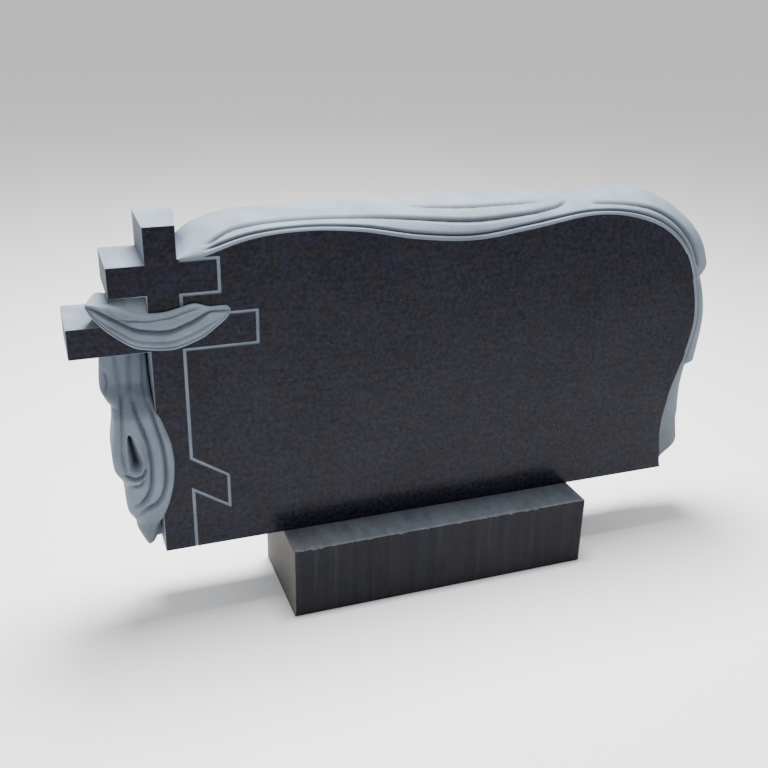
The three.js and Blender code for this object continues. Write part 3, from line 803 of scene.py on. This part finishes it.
@dataclass
class HangingCloth:
    """The cloth that hangs beside the foot of the cross, with its folds and the loop in them.

    The rows run from 0 at its tip to 1 at the bar: left and right as shares of reach and
    over_slab, front as a share of depth.

    Attributes:
        tip: Height of its lowest point over the slab's foot.
        lap: How far it goes into the lower bar.
        reach: How far it can reach to the left of the slab's side.
        over_slab: How far it can reach over the polished face.
        joint: How far it goes into the slab's side, so that the two are joined.
        left_round: Radius of its left edge.
        right_round: Radius of its right edge.
        fold_shade: How dark a fold is for its depth.
        foot_painted_shade: How much shade is painted on the stone at the tip.
    """

    cross: Cross
    tip: float = 4 * MM
    lap: float = 8 * MM
    reach: float = 84 * MM
    over_slab: float = 24.5 * MM
    depth: float = 108 * MM
    joint: float = 6 * MM
    left_round: float = 22 * MM
    right_round: float = 10 * MM
    fold_depth: float = 9 * MM
    fold_width: float = 14 * MM
    loop_depth: float = 24 * MM
    loop_width: float = 28 * MM
    fold_shade: float = 0.5
    foot_painted_shade: float = 0.55
    levels: int = 250
    front_points: int = 100
    left: Rows = field(default_factory=lambda: Rows(
        (0.0, 0.33), (0.046, 0.42), (0.097, 0.5), (0.148, 0.53), (0.173, 0.58), (0.218, 0.67),
        (0.272, 0.69), (0.348, 0.67), (0.383, 0.75), (0.429, 0.86), (0.48, 0.88), (0.628, 0.8),
        (0.72, 0.79), (0.744, 0.87), (0.79, 0.96), (0.871, 0.93), (1.0, 0.85)))
    right: Rows = field(default_factory=lambda: Rows(
        (0.0, -0.85), (0.04, -0.5), (0.1, -0.25), (0.148, -0.1), (0.165, 0.08), (0.2, 0.25),
        (0.245, 0.5), (0.3, 0.72), (0.361, 0.9), (0.44, 1.0), (0.53, 0.9), (0.623, 0.53),
        (0.709, 0.14), (0.741, 0.0), (0.79, -0.06), (1.0, -0.1)))
    front: Rows = field(default_factory=lambda: Rows(
        (0.0, 0.14), (0.12, 0.1), (0.155, 0.02), (0.19, -0.03), (0.25, -0.06), (0.358, -0.083),
        (0.547, -0.083), (0.668, -0.046), (0.749, 0.13), (0.817, 0.33), (1.0, 0.48)))

    def strokes(self) -> list[Stroke]:
        """Returns the loop's opening, the folds round it, the left groove and the creases."""
        fold, width = self.fold_depth, self.fold_width
        return [
            Stroke(self.loop_depth, 0.3 * self.loop_width, self.loop_width, [
                (-0.54, 0.61), (-0.5, 0.54), (-0.46, 0.485), (-0.44, 0.45)]),
            Stroke(fold, width, width, [
                (-0.415, 0.79), (-0.375, 0.703), (-0.26, 0.615), (-0.19, 0.539), (-0.17, 0.43),
                (-0.235, 0.327), (-0.41, 0.272), (-0.65, 0.251)]),
            Stroke(fold, 0.9 * width, width, [
                (-0.14, 0.76), (-0.05, 0.67), (0.037, 0.585), (0.1, 0.48), (0.087, 0.368),
                (0.02, 0.305), (-0.1, 0.262), (-0.367, 0.23), (-0.552, 0.2)]),
            Stroke(0.8 * fold, 0.9 * width, 0.9 * width, [
                (-0.6, 0.8), (-0.61, 0.754), (-0.664, 0.636), (-0.7, 0.515), (-0.65, 0.43)]),
            Stroke(0.8 * fold, 0.9 * width, 0.7 * width, [
                (-0.72, 0.43), (-0.5, 0.4), (-0.34, 0.408), (-0.26, 0.45)]),
            Stroke(0.6 * fold, 0.7 * width, 0.7 * width, [
                (-0.667, 0.36), (-0.415, 0.365), (-0.3, 0.39)]),
            Stroke(0.7 * fold, 0.7 * width, 0.7 * width, [
                (-0.91, 0.77), (-0.82, 0.815), (-0.84, 0.87)]),
            Stroke(0.45 * fold, 1.2 * width, 1.2 * width, [
                (-0.3, 0.97), (-0.36, 0.87), (-0.42, 0.77)]),
            Stroke(0.45 * fold, width, width, [(-0.06, 0.97), (-0.1, 0.87), (-0.15, 0.75)]),
            Stroke(0.4 * fold, 1.2 * width, width, [(-0.62, 0.95), (-0.6, 0.87), (-0.6, 0.78)]),
            Stroke(0.35 * fold, width, width, [
                (0.13, 0.56), (0.2, 0.47), (0.21, 0.37), (0.14, 0.28)]),
            Stroke(0.35 * fold, 0.8 * width, 0.8 * width, [
                (-0.31, 0.6), (-0.27, 0.52), (-0.27, 0.42), (-0.33, 0.36)]),
        ]

    def fold(self, x: np.ndarray, z: np.ndarray) -> np.ndarray:
        """Depth that the folds and the loop cut into the cloth at each place of its front."""
        low = self.tip
        high = self.cross.low_bar_underside + self.lap
        deepest = np.zeros(x.shape)
        for stroke in self.strokes():
            course = [(a * self.reach, blend(low, high, up)) for a, up in stroke.course]
            line = spline(course, 60)
            share = np.linspace(0.0, 1.0, len(line))
            half = blend(stroke.width_start, stroke.width_end, share) / 2
            present = fade(share, -0.05, 0.15) * (1 - fade(share, 0.85, 1.05))
            for point, reach, there in zip(line, half, present):
                near = np.clip(1 - np.hypot(x - point[0], z - point[1]) / reach, 0.0, 1.0)
                deepest = np.maximum(deepest, stroke.depth * there * near ** 1.3)
        return deepest

    def build(self) -> bpy.types.Object:
        """Models the cloth as level sections from the bar down to its tip.

        Returns:
            The closed body, in the block's frame.
        """
        share = np.linspace(1.0, 0.0, self.levels)
        z = blend(self.tip, self.cross.low_bar_underside + self.lap, share)[:, None]
        left = -self.reach * self.left.at(share)[:, None]
        right = self.over_slab * self.right.at(share)[:, None]
        front = self.depth * self.front.at(share)[:, None]
        across = np.linspace(0.0, 1.0, self.front_points)[None, :]
        x = blend(left, right, across)
        from_left = np.clip(1 - (x - left) / self.left_round, 0.0, 1.0)
        from_right = np.clip(1 - (right - x) / self.right_round, 0.0, 1.0)
        rounded = (self.left_round * (1 - np.sqrt(1 - from_left ** 2))
                   + self.right_round * (1 - np.sqrt(1 - from_right ** 2)))
        inside = np.minimum(1.0, np.minimum(5 * across, 7 * (1 - across)))
        cut = inside * self.fold(x, np.broadcast_to(z, x.shape))
        y = front + rounded + cut
        face = np.stack([x, y, np.broadcast_to(z, x.shape)], axis=2)
        side = np.minimum(0.95 * self.depth, front + self.right_round + 0.22 * self.depth)
        shallow = np.maximum(side + 2 * MM, 0.6 * self.depth)
        rear = blend(shallow, self.depth, fade(share, 0, 0.33)[:, None])
        joint = np.full(left.shape, self.joint)
        ring = [
            face,
            np.stack([right, side, z], axis=2),
            np.stack([joint, blend(side, rear, 0.3), z], axis=2),
            np.stack([joint, rear, z], axis=2),
            np.stack([blend(left, joint, 0.25), rear, z], axis=2),
            np.stack([blend(left, joint, 0.04), blend(y[:, :1], rear, 0.75), z], axis=2),
        ]
        obj = Modeller.loft("hanging_cloth", np.concatenate(ring, axis=1), around=False)
        # Shade is painted on the stone at the cloth's tip, fading out upwards.
        foot_shade = self.foot_painted_shade * (1 - fade(share, 0.0, 0.4))[:, None]
        # Shade is painted into the folds and the loop, the more the deeper they are cut.
        painted_shading = np.minimum(1.0, np.maximum(self.fold_shade * cut / self.fold_depth, foot_shade))
        Modeller.paint(obj, "painted_shading", face, painted_shading)
        return obj


class Sock:
    """A shader socket whose arithmetic makes Math nodes."""

    def __init__(self, tree: bpy.types.NodeTree, out: bpy.types.NodeSocket) -> None:
        """Wraps one output socket of a node tree."""
        self.tree = tree
        self.out = out

    def _math(self, operation: str, first: "Sock | float", second: "Sock | float") -> "Sock":
        """Adds one Math node with the two values plugged in or set."""
        node = self.tree.nodes.new("ShaderNodeMath")
        node.operation = operation
        for slot, value in zip(node.inputs, (first, second)):
            if isinstance(value, Sock):
                self.tree.links.new(value.out, slot)
            else:
                slot.default_value = value
        return Sock(self.tree, node.outputs[0])

    def __add__(self, other: "Sock | float") -> "Sock":
        """Adds."""
        return self._math("ADD", self, other)

    __radd__ = __add__

    def __sub__(self, other: "Sock | float") -> "Sock":
        """Takes other from this value."""
        return self._math("SUBTRACT", self, other)

    def __rsub__(self, other: float) -> "Sock":
        """Takes this value from other."""
        return self._math("SUBTRACT", other, self)

    def __mul__(self, other: "Sock | float") -> "Sock":
        """Multiplies."""
        return self._math("MULTIPLY", self, other)

    __rmul__ = __mul__

    def above(self, limit: float) -> "Sock":
        """Returns 1 where this value is over limit, else 0."""
        return self._math("GREATER_THAN", self, limit)


class Graph:
    """Node tree of one material, with short ways to add the nodes that granite needs."""

    def __init__(self, name: str) -> None:
        """Makes an empty material with a Principled shader on its output."""
        self.material = bpy.data.materials.new(name)
        self.material.use_nodes = True
        self.tree = self.material.node_tree
        self.shader = self.tree.nodes["Principled BSDF"]
        coordinates = self.tree.nodes.new("ShaderNodeTexCoord")
        self.place = Sock(self.tree, coordinates.outputs["Object"])

    def node(self, kind: str, output: str | int = 0, **inputs: object) -> Sock:
        """Adds a node, sets its options and inputs, and returns one of its outputs.

        Args:
            kind: Node type.
            output: Name or number of the output to return.
            inputs: Input names with a Sock or a plain value; names in lower case that the node
                itself has, such as blend_type, are set on the node.

        Returns:
            The wanted output.
        """
        node = self.tree.nodes.new(kind)
        for name, value in inputs.items():
            if hasattr(node, name):
                setattr(node, name, value)
                continue
            slot = node.inputs[name.replace("_", " ")]
            if isinstance(value, Sock):
                self.tree.links.new(value.out, slot)
            else:
                slot.default_value = value
        return Sock(self.tree, node.outputs[output])

    def stretched(self, scale: tuple[float, float, float]) -> Sock:
        """Returns the object's own place, stretched along each axis."""
        return self.node("ShaderNodeMapping", Vector=self.place, Scale=scale)

    def noise(self, scale: float, detail: float = 3.0, place: "Sock | None" = None) -> Sock:
        """Returns smooth noise of the given scale, about 0.5 on the average."""
        return self.node(
            "ShaderNodeTexNoise", 0, Vector=place or self.place, Scale=scale, Detail=detail)

    def spots(self, scale: float) -> Sock:
        """Returns the distance to the nearest of many scattered points."""
        return self.node("ShaderNodeTexVoronoi", 0, Vector=self.place, Scale=scale)

    def clamp(self, value: Sock, low: float, high: float) -> Sock:
        """Maps low to 0 and high to 1, and holds the value between them."""
        node = self.tree.nodes.new("ShaderNodeMapRange")
        self.tree.links.new(value.out, node.inputs["Value"])
        node.inputs["From Min"].default_value = low
        node.inputs["From Max"].default_value = high
        return Sock(self.tree, node.outputs["Result"])

    def mix(self, share: "Sock | float", first: object, second: object) -> Sock:
        """Mixes two colours.

        Args:
            share: How much of the second colour, from 0 to 1.
            first: Sock or colour.
            second: Sock or colour.

        Returns:
            The mixed colour.
        """
        node = self.tree.nodes.new("ShaderNodeMix")
        node.data_type = "RGBA"
        slots = (node.inputs[0], node.inputs[6], node.inputs[7])
        for slot, value in zip(slots, (share, first, second)):
            if isinstance(value, Sock):
                self.tree.links.new(value.out, slot)
            elif isinstance(value, tuple):
                slot.default_value = (*value, 1.0)
            else:
                slot.default_value = value
        return Sock(self.tree, node.outputs[2])

    def set(self, **inputs: object) -> None:
        """Sets or links inputs of the Principled shader."""
        for name, value in inputs.items():
            slot = self.shader.inputs[name.replace("_", " ")]
            if isinstance(value, Sock):
                self.tree.links.new(value.out, slot)
            elif isinstance(value, tuple):
                slot.default_value = (*value, 1.0)
            else:
                slot.default_value = value

    def bump(self, height: Sock, strength: float, distance: float) -> None:
        """Roughens the surface by a height."""
        node = self.tree.nodes.new("ShaderNodeBump")
        node.inputs["Strength"].default_value = strength
        node.inputs["Distance"].default_value = distance
        self.tree.links.new(height.out, node.inputs["Height"])
        self.tree.links.new(node.outputs["Normal"], self.shader.inputs["Normal"])


@dataclass(frozen=True)
class PolishedGranite:
    """Polished black granite: mottled blue and brown, faintly streaked, with a few crystals."""

    name: str = "granite_polished"
    dark: tuple[float, float, float] = (0.002, 0.0023, 0.0045)
    light: tuple[float, float, float] = (0.0148, 0.0156, 0.0305)
    warm: tuple[float, float, float] = (0.0165, 0.0155, 0.0225)
    crystal: tuple[float, float, float] = (0.11, 0.115, 0.125)
    grain: float = 420.0
    patches: float = 150.0
    streaks: float = 90.0
    clouds: float = 6.0
    crystals: float = 60.0
    roughness: float = 0.24
    shine: float = 0.12

    def build(self) -> bpy.types.Material:
        """Returns the material."""
        graph = Graph(self.name)
        fine = graph.noise(self.grain, 4.0)
        patchy = graph.noise(self.patches, 4.0)
        streak = graph.noise(self.streaks, 4.0, graph.stretched((0.3, 1.0, 1.5)))
        cloudy = graph.noise(self.clouds, 2.0)
        mottle = graph.clamp(
            fine * 0.15 + patchy * 0.5 + streak * 0.2 + cloudy * 0.15, 0.39, 0.61)
        tint = graph.clamp(graph.noise(0.2 * self.patches, 4.0), 0.42, 0.58)
        sparse = graph.noise(self.crystals * 0.35, 1.0)
        speck = (1.0 - graph.clamp(graph.spots(self.crystals), 0.03, 0.06)) * sparse.above(0.6)
        stone = graph.mix(mottle, self.dark, graph.mix(tint, self.light, self.warm))
        graph.set(
            Base_Color=graph.mix(speck, stone, self.crystal),
            Roughness=graph.clamp(fine, 0.3, 0.7) * 0.08 + (self.roughness - 0.04),
            Specular_IOR_Level=self.shine,
        )
        return graph.material


@dataclass(frozen=True)
class FrostedGranite:
    """Carved and frosted granite: light blue grey with fine grain, with shade painted into the
    hollows.

    The attribute read here is 1 where the most shade is painted, in the deepest folds, and -1 where
    the most light is painted.
    """

    name: str = "granite_frosted"
    dark: tuple[float, float, float] = (0.088, 0.108, 0.138)
    light: tuple[float, float, float] = (0.168, 0.205, 0.258)
    # Colour of the painted shade.
    painted_shading: tuple[float, float, float] = (0.03, 0.035, 0.044)
    # Colour of the painted light.
    painted_light: tuple[float, float, float] = (0.34, 0.38, 0.44)
    grain: float = 760.0
    clouds: float = 16.0
    roughness: float = 0.72

    def build(self) -> bpy.types.Material:
        """Returns the material."""
        graph = Graph(self.name)
        fine = graph.noise(self.grain, 3.0)
        cloudy = graph.noise(self.clouds, 4.0)
        mottle = graph.clamp(fine * 0.55 + cloudy * 0.45, 0.36, 0.64)
        painted_shading = graph.node("ShaderNodeAttribute", "Fac", attribute_name="painted_shading")
        plain = graph.mix(mottle, self.dark, self.light)
        # Light is painted where the attribute is below 0.
        colour = graph.mix(graph.clamp(painted_shading * -1.0, 0.0, 1.0), plain, self.painted_light)
        # Shade is painted where the attribute is above 0.
        graph.set(
            Base_Color=graph.mix(graph.clamp(painted_shading, 0.0, 1.0) * 0.9, colour, self.painted_shading),
            Roughness=fine * 0.12 + (self.roughness - 0.06),
        )
        graph.bump(fine, 0.35, 0.0006)
        return graph.material


@dataclass(frozen=True)
class SawnGranite:
    """Plain sawn granite: matt, with fine grain, cloudy stains and streaks that run down."""

    name: str = "granite_sawn"
    dark: tuple[float, float, float] = (0.026, 0.028, 0.034)
    light: tuple[float, float, float] = (0.06, 0.064, 0.075)
    stain: tuple[float, float, float] = (0.05, 0.044, 0.037)
    stained: float = 0.3
    drip: tuple[float, float, float] = (0.11, 0.115, 0.125)
    drips: float = 0.0
    grain: float = 520.0
    streaks: float = 30.0
    clouds: float = 9.0
    roughness: float = 0.55
    shine: float = 0.5

    def build(self) -> bpy.types.Material:
        """Returns the material."""
        graph = Graph(self.name)
        fine = graph.noise(self.grain, 4.0)
        streak = graph.noise(self.streaks, 4.0, graph.stretched((2.2, 1.0, 0.12)))
        narrow = graph.noise(self.streaks, 2.0, graph.stretched((3.0, 1.0, 0.12)))
        drip = graph.clamp(narrow, 0.6, 0.76)
        mottle = graph.clamp(fine * 0.6 + streak * 0.4, 0.34, 0.66)
        cloudy = graph.clamp(graph.noise(self.clouds, 4.0), 0.45, 0.7)
        plain = graph.mix(mottle, self.dark, self.light)
        stone = graph.mix(cloudy * self.stained, plain, self.stain)
        graph.set(
            Base_Color=graph.mix(drip * self.drips, stone, self.drip),
            Roughness=streak * 0.15 + (self.roughness - 0.08),
            Specular_IOR_Level=self.shine,
        )
        graph.bump(fine, 0.25, 0.0005)
        return graph.material


@dataclass
class Headstone:
    """The carved block, put together from its plain body, its lines and its cloths.

    Attributes:
        front: Where the polished face is in the row frame.
        foot: Height of the slab's foot, on the plinth.
        smooth_below: Angle in degrees between faces up to which they are shaded as one.
    """

    slab: Slab = field(default_factory=Slab)
    cross: Cross = field(default_factory=Cross)
    front: float = -32 * MM
    foot: float = 137 * MM
    smooth_below: float = 38.0

    def build(self, left_end: float) -> bpy.types.Object:
        """Models the block and moves it to where it stands.

        Args:
            left_end: Where the block's left end is in the row frame.

        Returns:
            The finished piece.
        """
        block = Block(self.slab, self.cross, TopCloth(self.slab, self.cross)).build()
        Modeller.combine(block, EngravedLine(self.cross).build(), "DIFFERENCE")
        log.info("cut the engraved line")
        for part in (Swag(self.cross), HangingCloth(self.cross)):
            Modeller.combine(block, part.build(), "UNION")
            log.info("joined %s", type(part).__name__)
        block.data.transform(Matrix.Translation(self.left_foot(left_end)))
        return block

    def left_foot(self, left_end: float) -> Vector:
        """Returns the slab's lower left front corner in the row frame."""
        return Vector((left_end + self.cross.low_bar_left, self.front, self.foot))

    def dress(self, obj: bpy.types.Object) -> None:
        """Gives every face its finish, by where it is and which way it looks."""
        obj.data.materials.clear()
        for finish in (PolishedGranite(), FrostedGranite(), SawnGranite()):
            obj.data.materials.append(finish.build())
        rear = self.front + self.slab.thickness
        finishes = []
        for polygon in obj.data.polygons:
            y = polygon.center.y
            if polygon.normal.y < -0.9999 and abs(y - self.front) < 1e-5:
                finishes.append(Finish.POLISHED.value)
            elif polygon.normal.y > 0.9999 and abs(y - rear) < 1e-5:
                finishes.append(Finish.SAWN.value)
            else:
                finishes.append(Finish.FROSTED.value)
        obj.data.polygons.foreach_set("material_index", finishes)
        Modeller.activate(obj)
        bpy.ops.object.shade_smooth_by_angle(angle=math.radians(self.smooth_below))
        smooth = [finish == Finish.FROSTED.value for finish in finishes]
        obj.data.polygons.foreach_set("use_smooth", smooth)
        obj.data.update()


@dataclass
class Plinth:
    """The low block under the slab, with small chips along its upper front edge.

    Attributes:
        arris: Width of the narrow chamfer round the top.
        chip: Greatest depth of a chip.
        chips: Number of chips.
        chip_fall: How far a chip runs down the front, as a share of its depth.
        margin: Width of the strip along the edge that the chips stay within.
        stations: Number of sections along the block.
    """

    arris: float = 2 * MM
    margin: float = 10 * MM
    chip: float = 4.5 * MM
    chips: int = 46
    chip_fall: float = 0.6
    stations: int = 420

    def chipped(self, x: np.ndarray) -> np.ndarray:
        """Returns how far the upper front edge is chipped away at each place of its length."""
        dice = np.random.default_rng(11)
        depth = np.zeros(x.shape)
        for _ in range(self.chips):
            middle = dice.uniform(x[0], x[-1])
            half = dice.uniform(1.5, 7.0) * MM
            deep = self.chip * dice.uniform(0.15, 1.0) ** 2
            round_off = np.sqrt(np.clip(1 - ((x - middle) / half) ** 2, 0.0, 1.0))
            depth = np.maximum(depth, deep * round_off)
        return depth

    def build(self) -> bpy.types.Object:
        """Models the plinth over its CAD solid as sections along its length.

        Returns:
            The finished piece.
        """
        low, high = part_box("plinth")
        within = np.linspace(low.x + self.arris, high.x - self.arris, self.stations)
        x = np.concatenate([[low.x], within, [high.x]])
        drop = np.zeros(x.shape)
        drop[[0, -1]] = self.arris
        top = high.z - drop
        chips = self.chipped(x)
        corners = [
            (low.y, low.z),
            (high.y, low.z),
            (high.y, high.z - self.arris),
            (high.y - self.arris, top),
            (low.y + self.margin, top),
            (low.y + (self.arris + chips), top),
            (low.y, high.z - self.arris - self.chip_fall * chips),
            (low.y, high.z - self.margin),
        ]
        grid = np.stack(
            [np.stack(np.broadcast_arrays(x, y, z), axis=1) for y, z in corners], axis=1)
        return Modeller.loft("plinth_stone", grid, around=False)

    def dress(self, obj: bpy.types.Object) -> None:
        """Gives the front, the top, the ends and the chipped edge their own finishes."""
        front = SawnGranite(
            "plinth_front", dark=(0.003, 0.0034, 0.0058), light=(0.0155, 0.016, 0.0225),
            stained=0.1, drips=0.1, roughness=0.4, shine=0.1)
        top = SawnGranite(
            "plinth_top", dark=(0.03, 0.036, 0.047), light=(0.075, 0.088, 0.11), roughness=0.6)
        ends = SawnGranite(
            "plinth_ends", dark=(0.04, 0.037, 0.034), light=(0.1, 0.094, 0.086),
            stained=0.6, roughness=0.8)
        arris = SawnGranite(
            "plinth_arris", dark=(0.034, 0.039, 0.05), light=(0.1, 0.11, 0.13), roughness=0.8)
        for finish in (front, top, ends, arris):
            obj.data.materials.append(finish.build())
        low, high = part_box("plinth")
        for polygon in obj.data.polygons:
            middle, normal = polygon.center, polygon.normal
            if not low.x + self.arris < middle.x < high.x - self.arris:
                finish = PlinthFinish.ENDS
            elif abs(normal.z) > 0.99:
                finish = PlinthFinish.TOP
            elif abs(normal.y) > 0.99:
                finish = PlinthFinish.FRONT
            else:
                finish = PlinthFinish.ARRIS
            polygon.material_index = finish.value
            polygon.use_smooth = False


@dataclass
class Studio:
    """Pale floor, soft light from above and the camera at the photograph's place.

    Attributes:
        camera_place: Place of the camera, measured from the slab's lower left front corner.
        forward: Direction in which it looks.
        up: Direction of the picture's upper edge.
        floor_drop: How far the floor lies under the plinth.
    """

    camera_place: tuple[float, float, float] = (-0.16153, -1.47934, 0.95767)
    forward: tuple[float, float, float] = (0.32153, 0.85735, -0.40195)
    up: tuple[float, float, float] = (0.11976, 0.38426, 0.91542)
    lens: float = 46.34
    sensor: float = 36.0
    floor_size: float = 120.0
    floor_drop: float = 0.5 * MM
    floor_colour: tuple[float, float, float] = (0.88, 0.88, 0.88)
    world_light: float = 0.8
    top_light: float = 260.0
    top_light_size: float = 1.1
    top_light_place: tuple[float, float, float] = (0.0, 0.45, 2.6)
    top_light_target: tuple[float, float, float] = (0.0, 0.0, 0.3)

    def build(self, left_foot: Vector) -> None:
        """Makes the floor, the lights, the world and the camera.

        Args:
            left_foot: The slab's lower left front corner in the row frame, from which the
                camera's place is measured.
        """
        bpy.ops.mesh.primitive_plane_add(
            size=self.floor_size, location=(0, 0, -self.floor_drop))
        floor = bpy.context.active_object
        floor.name = "floor"
        graph = Graph("floor_pale")
        graph.set(Base_Color=self.floor_colour, Roughness=0.9)
        floor.data.materials.append(graph.material)
        self._light_from_above()
        world = bpy.data.worlds.new("studio")
        bpy.context.scene.world = world
        world.use_nodes = True
        background = world.node_tree.nodes["Background"]
        background.inputs["Color"].default_value = (1.0, 1.0, 1.0, 1.0)
        background.inputs["Strength"].default_value = self.world_light
        data = bpy.data.cameras.new("camera")
        data.lens = self.lens
        data.sensor_width = self.sensor
        camera = bpy.data.objects.new("camera", data)
        bpy.context.scene.collection.objects.link(camera)
        forward = Vector(self.forward).normalized()
        up = Vector(self.up).normalized()
        right = forward.cross(up).normalized()
        up = right.cross(forward)
        turn = Matrix((right, up, -forward)).transposed()
        place = left_foot + Vector(self.camera_place)
        camera.matrix_world = Matrix.Translation(place) @ turn.to_4x4()
        bpy.context.scene.camera = camera

    def _light_from_above(self) -> None:
        """Adds the square soft light over the stone."""
        data = bpy.data.lights.new("light_top", "AREA")
        data.size = self.top_light_size
        data.energy = self.top_light
        light = bpy.data.objects.new("light_top", data)
        light.location = self.top_light_place
        look = Vector(self.top_light_target) - Vector(self.top_light_place)
        light.rotation_euler = look.to_track_quat("-Z", "Y").to_euler()
        bpy.context.scene.collection.objects.link(light)


def main() -> None:
    """Builds the pieces in order, dresses them and sets up the studio."""
    logging.basicConfig(level=logging.INFO, format="%(name)s: %(message)s")
    for obj in list(bpy.data.objects):
        bpy.data.objects.remove(obj)
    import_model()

    headstone = Headstone()
    block_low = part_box("headstone_slab")[0]
    block = headstone.build(block_low.x)
    headstone.dress(block)
    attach(block, "root")
    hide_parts("headstone_slab")
    log.info("headstone: %d faces", len(block.data.polygons))

    plinth = Plinth()
    base = plinth.build()
    plinth.dress(base)
    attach(base, "root")
    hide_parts("plinth")
    log.info("plinth: %d faces", len(base.data.polygons))

    Studio().build(headstone.left_foot(block_low.x))


if __name__ == "__main__":
    main()
